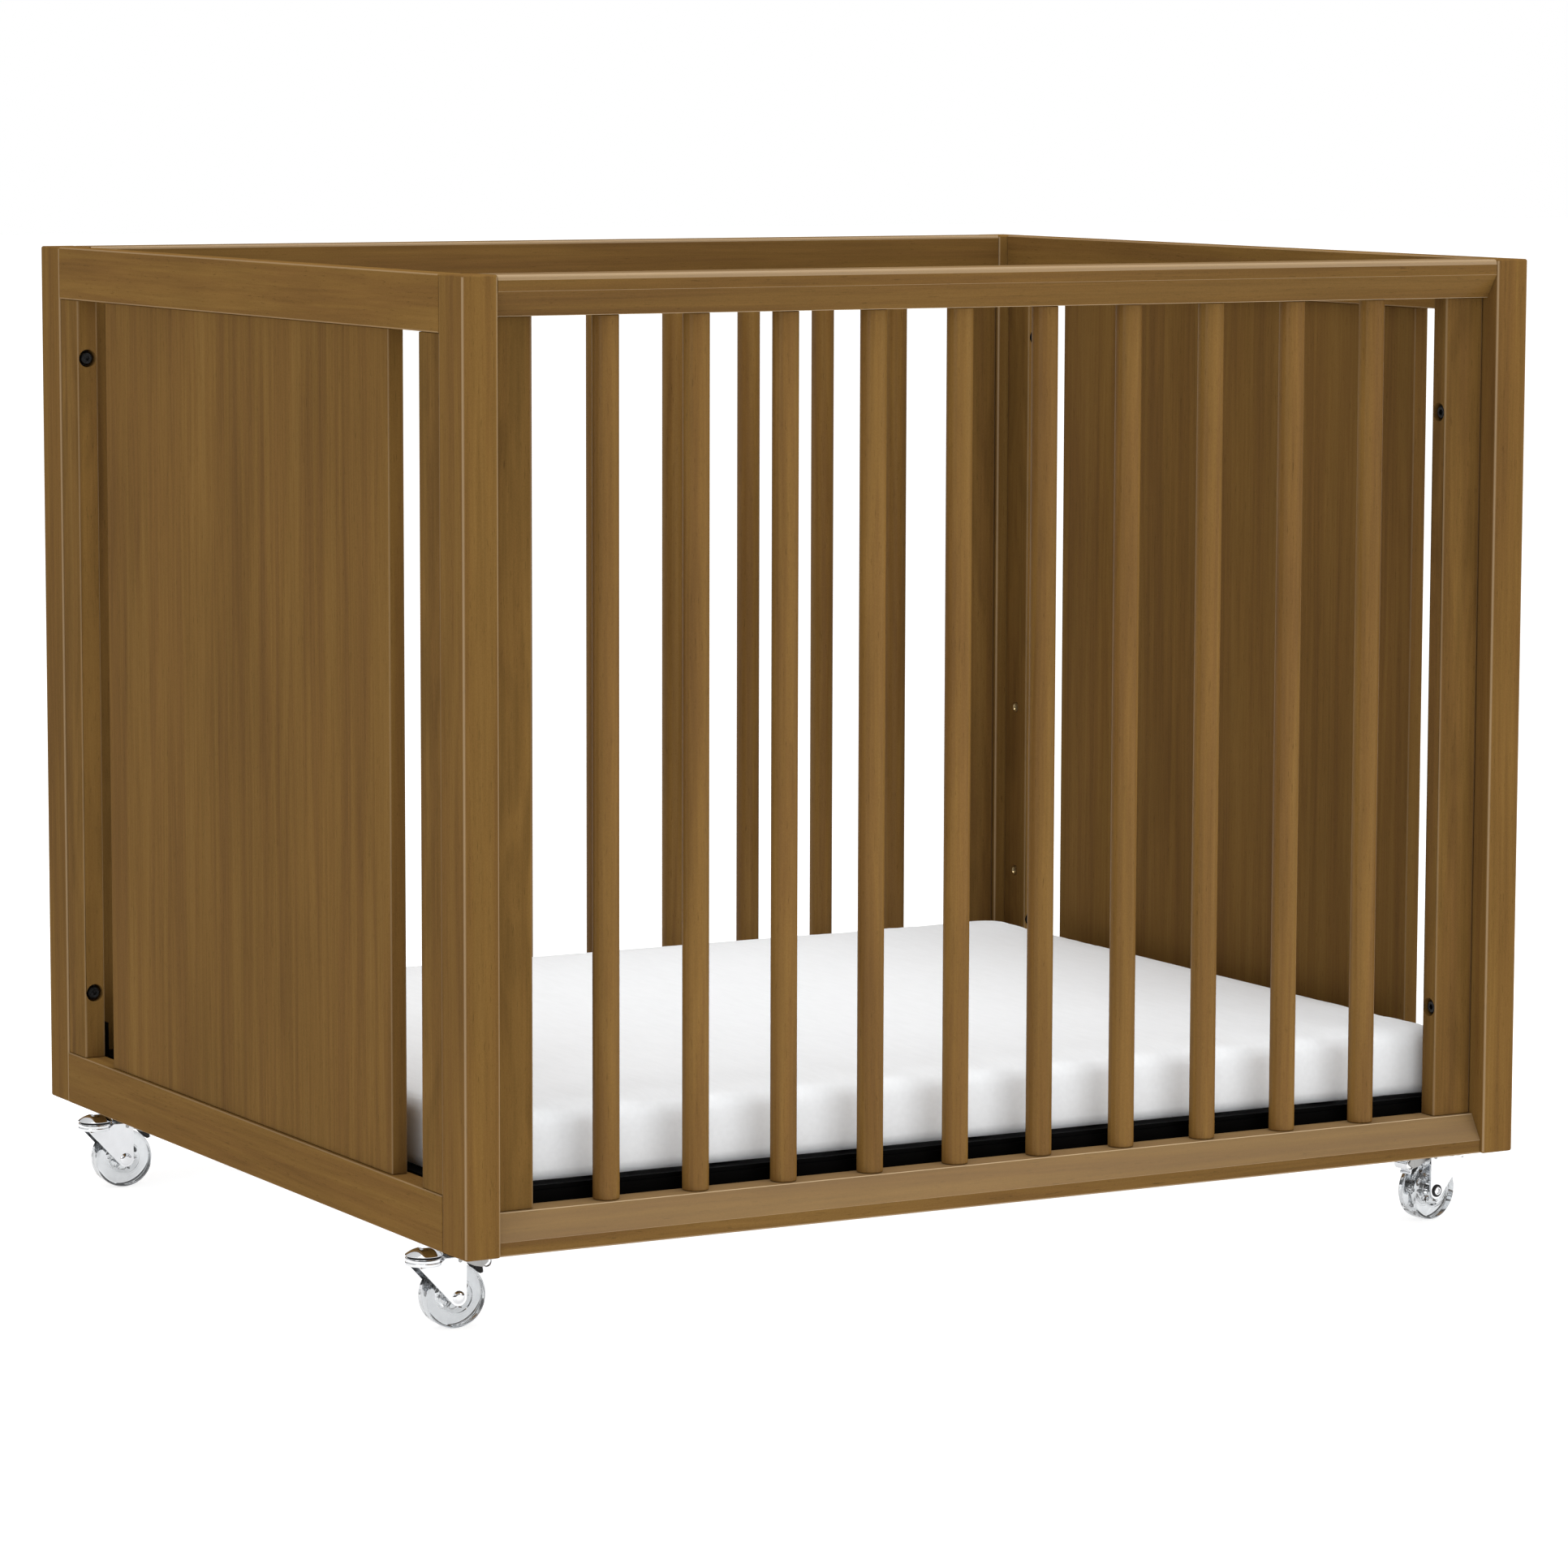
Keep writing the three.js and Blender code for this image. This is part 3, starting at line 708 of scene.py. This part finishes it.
def axle_piece(name, axle):
    """Riveted axle: a domed head on one leg, and a washer and hollow peened end on the other."""
    outer = LEG_INNER + SHEET
    profile = filleted(
        [
            (0, -outer - 2.0),
            (3.4, -outer - 1.8, 3.4),
            (5.4, -outer - 0.4, 1),
            (5.4, -outer),
            (3, -outer + 0.2),
            (3, outer + 0.1),
            (3.7, outer + 0.2, 0.2),
            (3.7, outer + 1.8, 0.6),
            (2.3, outer + 1.9, 0.3),
            (1.9, outer + 0.6),
            (0, outer + 0.4),
        ]
    )
    made = turned(f"caster_{name}_axle", [tuple(p) for p in profile], CHROME, 40)
    washer_profile = filleted(
        [(3.8, outer), (5.6, outer, 0.2), (5.6, outer + 0.9, 0.4), (3.8, outer + 0.9)], closed=True
    )
    washer = turned(
        f"caster_{name}_axle_washer", [tuple(p) for p in washer_profile], BLACK_OXIDE, 40, True
    )
    onto_axle = Matrix.Translation(axle) @ Matrix.Rotation(-math.pi / 2, 4, "X")
    for piece in (made, washer):
        piece.data.transform(onto_axle)
    return made, washer


def wheel(name, axle):
    """Clear wheel: a rounded tread, a recessed web with raised spokes, and a hub with a steel bush."""
    segments = 96
    hub, pocket_in, pocket_out = 5.2, 6.2, 12.6

    def web_height(radius, angle):
        """Half thickness of the web: thin in the pockets, thicker at a spoke."""
        position = (angle * SPOKES / FULL_TURN) % 1
        off_spoke = abs(position - 0.5) * 2
        along = math.sin(math.pi * min(1, max(0, (radius - pocket_in) / (pocket_out - pocket_in))))
        opening = min(1, max(0, (0.86 - off_spoke + 0.1 * (radius - pocket_in) / 6) / 0.25))
        opening = opening * opening * (3 - 2 * opening)
        depth = 3.4 * opening * min(1, along * 3)
        return HALF_WIDTH - 3.0 - depth

    tread = filleted(
        [
            (WEB_RADIUS - 0.4, HALF_WIDTH - 2.4, 0.5),
            (WEB_RADIUS + 0.4, HALF_WIDTH - 0.3, 0.5),
            (WEB_RADIUS + 1.4, HALF_WIDTH - 0.3, 0.3),
            (WEB_RADIUS + 1.8, HALF_WIDTH, 0.3),
            (WHEEL_RADIUS, HALF_WIDTH - 0.3, 3.2),
            (WHEEL_RADIUS, 0),
        ],
        steps=7,
    )
    half = [(3.3, lambda a: HALF_WIDTH - 0.4), (hub - 0.4, lambda a: HALF_WIDTH - 0.4)]
    half.append((hub, lambda a: HALF_WIDTH - 0.9))
    half.append((hub + 0.3, lambda a: HALF_WIDTH - 3.0))
    steps = 12
    for i in range(steps + 1):
        radius = pocket_in + (pocket_out - pocket_in) * i / steps
        half.append((radius, lambda a, r=radius: web_height(r, a)))
    half += [(p.x, lambda a, h=p.y: h) for p in tread]
    rings = half + [(r, lambda a, h=height: -h(a)) for r, height in reversed(half[:-1])]

    vertices, faces = [], []
    for radius, height in rings:
        for i in range(segments):
            angle = FULL_TURN * i / segments
            vertices.append((radius * math.cos(angle), radius * math.sin(angle), height(angle)))
    for k in range(len(rings)):
        for i in range(segments):
            j = (i + 1) % segments
            lower, upper = k * segments, (k + 1) % len(rings) * segments
            faces.append((lower + i, lower + j, upper + j, upper + i))
    made = mesh_object(f"caster_{name}_clear_wheel", vertices, faces, CLEAR)

    bush_profile = filleted(
        [(3.05, -HALF_WIDTH - 0.3), (4.6, -HALF_WIDTH - 0.3, 0.3), (4.6, -HALF_WIDTH + 0.2)]
    )
    ends = [tuple(p) for p in bush_profile]
    inner = [(3.28, -HALF_WIDTH + 0.4), (3.28, HALF_WIDTH - 0.4)]
    bush = turned(
        f"caster_{name}_bush",
        ends + inner + [(r, -h) for r, h in reversed(ends)],
        ZINC,
        40,
        closed=True,
    )
    onto_axle = Matrix.Translation(axle) @ Matrix.Rotation(math.pi / 2, 4, "X")
    for piece in (made, bush):
        piece.data.transform(onto_axle)
    return made, bush


def sideways(name, outline, low, high, material):
    """An outline in XZ between two places along Y."""
    made = extruded(name, outline, -high, -low, material)
    made.data.transform(Matrix.Rotation(math.pi / 2, 4, "X"))
    return made


def brake(name):
    """Brake lever: a sheet channel on a barrel, with a rolled end and a rubber shoe held by a strip."""
    px, pz = BRAKE_PIVOT
    rx, rz = BRAKE_ROLL
    wide = BRAKE_HALF_WIDTH
    top = [(px - 1, pz + 2.2), (rx, rz + BRAKE_ROLL_RADIUS)]
    underside = [(48.5, -23.6, 3), (41, -22, 6), (34.7, -19.2, 6), (25, -17)]
    plate = [*top, *[(x, z - BRAKE_SHEET) for x, z in reversed(top)]]
    tab = sideways(f"caster_{name}_brake_tab", plate, -wide, wide, ZINC)
    cheek_outline = filleted([*top, (rx + 2, rz, 2), *underside], closed=True)
    cheeks = [
        edged(
            sideways(f"caster_{name}_brake_cheek_{i}", cheek_outline, low, low + BRAKE_SHEET, ZINC),
            0.3,
        )
        for i, low in enumerate((-wide, wide - BRAKE_SHEET))
    ]
    rolled = filleted(
        [
            (0, -wide + 1.2),
            (3.9, -wide + 1.2, 0.4),
            (4.3, -wide, 0.3),
            (BRAKE_ROLL_RADIUS, -wide, 0.5),
            (BRAKE_ROLL_RADIUS, wide, 0.5),
            (4.3, wide, 0.3),
            (3.9, wide - 1.2, 0.4),
            (0, wide - 1.2),
        ]
    )
    roll = turned(f"caster_{name}_brake_roll", [tuple(p) for p in rolled], CHROME, 40)

    barrel_half = LEG_INNER - 0.3
    pin_half = LEG_INNER + SHEET + 0.4
    pivot = [
        (0, -pin_half),
        (1.6, -pin_half),
        (1.6, -barrel_half),
        (2.2, -barrel_half),
        (2.2, barrel_half),
        (1.6, barrel_half),
        (1.6, pin_half),
        (0, pin_half),
    ]
    barrel = turned(f"caster_{name}_brake_barrel", pivot, ZINC, 32)
    upright_to_y = Matrix.Rotation(math.pi / 2, 4, "X")
    roll.data.transform(Matrix.Translation((rx, 0, rz)) @ upright_to_y)
    barrel.data.transform(Matrix.Translation((px, 0, pz)) @ upright_to_y)

    inside = wide - BRAKE_SHEET - 0.2
    shoe_outline = [(40, -20), (49, -21), (49.5, -28.4), (46.8, -29), (42, -24), (40, -21.5)]
    shoe = edged(
        sideways(f"caster_{name}_brake_shoe", shoe_outline, -inside, inside, RUBBER), 0.4
    )
    strip_outline = [(48.6, -22), (49.6, -22), (50.4, -27), (51.6, -28.2)]
    strip_outline += [(50.9, -28.8), (49.5, -27.4)]
    strip = sideways(f"caster_{name}_brake_strip", strip_outline, -inside, inside, CHROME)
    return tab, cheeks, roll, barrel, shoe, strip


def caster(name):
    place, axle = caster_frame(name)
    swivel, rolling, lever = (f"caster_{name}_{part}" for part in ("swivel", "wheel", "brake"))
    stem = settle(stem_piece(name), place, "frame")
    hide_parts(f"caster_{name}_stem")
    # The black ring in the gap under the disc is partly painted shade
    settle(shaded_gap_seal(name), place, "frame")
    settle(cup(name), place, swivel)
    sheet = settle(fork(name, axle), place, swivel)
    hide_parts(f"caster_{name}_fork")
    pin, washer = axle_piece(name, axle)
    settle(pin, place, swivel)
    settle(washer, place, swivel)
    tyre, bush = wheel(name, axle)
    settle(tyre, place, rolling)
    settle(bush, place, rolling)
    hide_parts(f"caster_{name}_wheel")
    tab, cheeks, roll, barrel, shoe, strip = brake(name)
    for made in (tab, *cheeks, barrel):
        settle(made, place, lever)
    for made in (roll, strip):
        settle(made, place, lever)
    settle(shoe, place, lever)
    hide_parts(f"caster_{name}_brake")


# ---------------------------------------------------------------- mattress

MATTRESS_VOXEL = 0.008
MATTRESS_SHRINK = 0.0045
MATTRESS_SWELL = 0.004
MATTRESS_CORNER = 0.024
MATTRESS_TOP_EDGE = 0.012
MATTRESS_BOTTOM_EDGE = 0.003
CLOTH_FRAMES = 16


def mattress():
    """Foam block in a fitted sheet, swelled a little by cloth simulation."""
    low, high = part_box("mattress")
    body = bmesh.new()
    bmesh.ops.create_cube(body, size=1)
    size = high - low - Vector([2 * MATTRESS_SHRINK] * 3)
    centre = (low + high) / 2
    body.transform(Matrix.Translation(centre) @ Matrix.Diagonal((*size, 1)))
    uprights = [e for e in body.edges if abs(e.verts[0].co.z - e.verts[1].co.z) > size.z / 2]
    corner = MATTRESS_CORNER
    bmesh.ops.bevel(body, geom=uprights, offset=corner, segments=8, profile=0.5, affect="EDGES")
    rims = [
        e
        for e in body.edges
        if abs(e.verts[0].co.z - e.verts[1].co.z) < 1e-6 and len(e.link_faces) == 2
    ]
    for at_top, radius in ((True, MATTRESS_TOP_EDGE), (False, MATTRESS_BOTTOM_EDGE)):
        rim = [e for e in rims if e.is_valid and (e.verts[0].co.z > centre.z) == at_top]
        bmesh.ops.bevel(body, geom=rim, offset=radius, segments=6, profile=0.5, affect="EDGES")
    mesh = bpy.data.meshes.new("mattress_foam")
    body.to_mesh(mesh)
    body.free()
    mesh.materials.append(COTTON)
    made = bpy.data.objects.new("mattress_in_fitted_sheet", mesh)
    bpy.context.scene.collection.objects.link(made)
    bpy.context.view_layer.objects.active = made
    made.select_set(True)
    mesh.remesh_voxel_size = MATTRESS_VOXEL
    bpy.ops.object.voxel_remesh()
    start = [v.co.copy() for v in made.data.vertices]
    swell(made)
    bottom = low.z + 0.0004
    for vertex, origin in zip(made.data.vertices, start):
        moved = vertex.co - origin
        if moved.length > MATTRESS_SWELL:
            vertex.co = origin + moved.normalized() * MATTRESS_SWELL
        vertex.co.z = max(bottom, vertex.co.z - MATTRESS_SHRINK * (origin.z < centre.z))
    made.modifiers.new("soft", "CORRECTIVE_SMOOTH").iterations = 4
    made.data.shade_smooth()
    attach(made, "mattress_platform")
    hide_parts("mattress")


def swell(made):
    """Inflates a closed cloth shell and keeps the result as its mesh."""
    cloth = made.modifiers.new("cloth", "CLOTH")
    cloth.settings.use_pressure = True
    cloth.settings.uniform_pressure_force = 4
    cloth.settings.effector_weights.gravity = 0
    cloth.settings.tension_stiffness = 40
    cloth.point_cache.frame_start = 1
    cloth.point_cache.frame_end = CLOTH_FRAMES
    scene = bpy.context.scene
    for step in range(1, CLOTH_FRAMES + 1):
        scene.frame_set(step)
    shaped = bpy.data.meshes.new_from_object(
        made.evaluated_get(bpy.context.evaluated_depsgraph_get())
    )
    made.modifiers.remove(cloth)
    made.data = shaped
    scene.frame_set(1)


# ---------------------------------------------------------------- stage, light and camera


# How bright the floor is to the piece above it, and how bright it is where it is seen
FLOOR_GLOW = 0.74
FLOOR_SEEN = 0.8
SKY_FRONT = 0.86
SKY_BACK = 0.64
# Brightness from straight down, at 0, to straight up, at 1: what lights matt surfaces, and what gloss
# and clear plastic show
SOFT_SKY = [(0.0, 0.4), (0.48, 0.5), (0.62, 0.7), (1.0, 1.2)]
SHARP_SKY = [(0.0, 0.9), (0.49, 0.9), (0.51, 0.08), (0.64, 0.12), (0.7, 1.0), (1.0, 1.2)]


# Name, place, size and watts of each square light. All of them face the piece's middle
LIGHTS = (
    ("overhead", (0.3, -0.8, 5.0), 4.0, 175),
    ("front_right", (2.8, -4.2, 1.7), 1.8, 30),
    ("front_left", (-3.9, -1.6, 1.3), 1.4, 15),
)
LIT_POINT = Vector((0, 0, 0.4))


def floor():
    shader = Shader("pale_floor", Roughness=0.9, Specular_IOR_Level=0.1)
    shader.surface.inputs["Emission Color"].default_value = (1, 1, 1, 1)
    seen = shader.node("ShaderNodeLightPath", {}).outputs["Is Camera Ray"]
    glow = shader.grey_ramp(seen, 0.0, 1.0, FLOOR_GLOW, FLOOR_SEEN)
    tone = shader.noise(shader.place(), 0.6, detail=2)
    colour = shader.ramp(tone, [(0.3, linear("bababa")), (0.7, linear("bebebe"))])
    material = shader.finish(Base_Color=colour, Emission_Strength=glow)
    reach = 30
    corners = [(-reach, -reach, 0), (reach, -reach, 0), (reach, reach, 0), (-reach, reach, 0)]
    made = mesh_object("floor", corners, [(0, 1, 2, 3)], material, smooth=False)
    made.location.z = -0.0005


def sky():
    """White where it is seen, and a gradient by height and by front to back for all other light."""
    world = bpy.data.worlds.new("studio")
    world.use_nodes = True
    tree = world.node_tree
    add, link = tree.nodes.new, tree.links.new
    background = tree.nodes["Background"]
    parts = add("ShaderNodeSeparateXYZ")
    link(add("ShaderNodeTexCoord").outputs["Generated"], parts.inputs["Vector"])
    height = add("ShaderNodeMapRange")
    height.inputs["From Min"].default_value = -1
    link(parts.outputs["Z"], height.inputs["Value"])
    skies = []
    for stops in (SOFT_SKY, SHARP_SKY):
        ramp = add("ShaderNodeValToRGB")
        while len(ramp.color_ramp.elements) < len(stops):
            ramp.color_ramp.elements.new(1)
        for element, (position, value) in zip(ramp.color_ramp.elements, stops):
            element.position = position
            element.color = (value, value, value, 1)
        link(height.outputs["Result"], ramp.inputs["Fac"])
        skies.append(ramp.outputs["Color"])
    rays = add("ShaderNodeLightPath").outputs
    clear_rays = add("ShaderNodeMath")
    clear_rays.operation = "MAXIMUM"
    link(rays["Is Glossy Ray"], clear_rays.inputs[0])
    link(rays["Is Transmission Ray"], clear_rays.inputs[1])
    shown = add("ShaderNodeMixRGB")
    link(clear_rays.outputs["Value"], shown.inputs["Fac"])
    link(skies[0], shown.inputs["Color1"])
    link(skies[1], shown.inputs["Color2"])
    link(shown.outputs["Color"], background.inputs["Color"])
    dimmer = add("ShaderNodeMapRange")
    for socket, value in (("From Min", -1), ("To Min", SKY_FRONT), ("To Max", SKY_BACK)):
        dimmer.inputs[socket].default_value = value
    link(parts.outputs["Y"], dimmer.inputs["Value"])
    link(dimmer.outputs["Result"], background.inputs["Strength"])
    plain = add("ShaderNodeBackground")
    plain.inputs["Color"].default_value = (1, 1, 1, 1)
    mixed = add("ShaderNodeMixShader")
    link(rays["Is Camera Ray"], mixed.inputs["Fac"])
    link(background.outputs["Background"], mixed.inputs[1])
    link(plain.outputs["Background"], mixed.inputs[2])
    link(mixed.outputs["Shader"], tree.nodes["World Output"].inputs["Surface"])
    bpy.context.scene.world = world


def lights():
    for name, position, size, power in LIGHTS:
        light = bpy.data.lights.new(name, "AREA")
        light.shape = "SQUARE"
        light.size = size
        light.energy = power
        lamp = bpy.data.objects.new(name, light)
        lamp.location = position
        lamp.rotation_euler = (LIT_POINT - Vector(position)).to_track_quat("-Z", "Y").to_euler()
        bpy.context.scene.collection.objects.link(lamp)


CAMERA_PLACE = (-2.4879, -4.4894, 0.9999)
CAMERA_YAW, CAMERA_PITCH, CAMERA_ROLL = 29.188, 6.924, 0.162
CAMERA_LENS = 133.5


def camera():
    """Front left view from standing height, through a long lens."""
    data = bpy.data.cameras.new("camera")
    data.lens = CAMERA_LENS
    data.sensor_width = 36
    made = bpy.data.objects.new("camera", data)
    yaw, pitch, roll = (math.radians(a) for a in (CAMERA_YAW, CAMERA_PITCH, CAMERA_ROLL))
    aim = Matrix.Rotation(-yaw, 4, "Z") @ Matrix.Rotation(math.pi / 2 - pitch, 4, "X")
    made.matrix_world = Matrix.Translation(CAMERA_PLACE) @ aim @ Matrix.Rotation(roll, 4, "Z")
    bpy.context.scene.collection.objects.link(made)
    bpy.context.scene.camera = made


camera()
finish_wood()
carried_over("mattress_support", BLACK_STEEL, 0.0004)
frame_bolts()
support_fixings()
for corner in ("front_left", "front_right", "back_left", "back_right"):
    caster(corner)
mattress()
floor()
sky()
lights()
bpy.context.scene.view_settings.view_transform = "Standard"
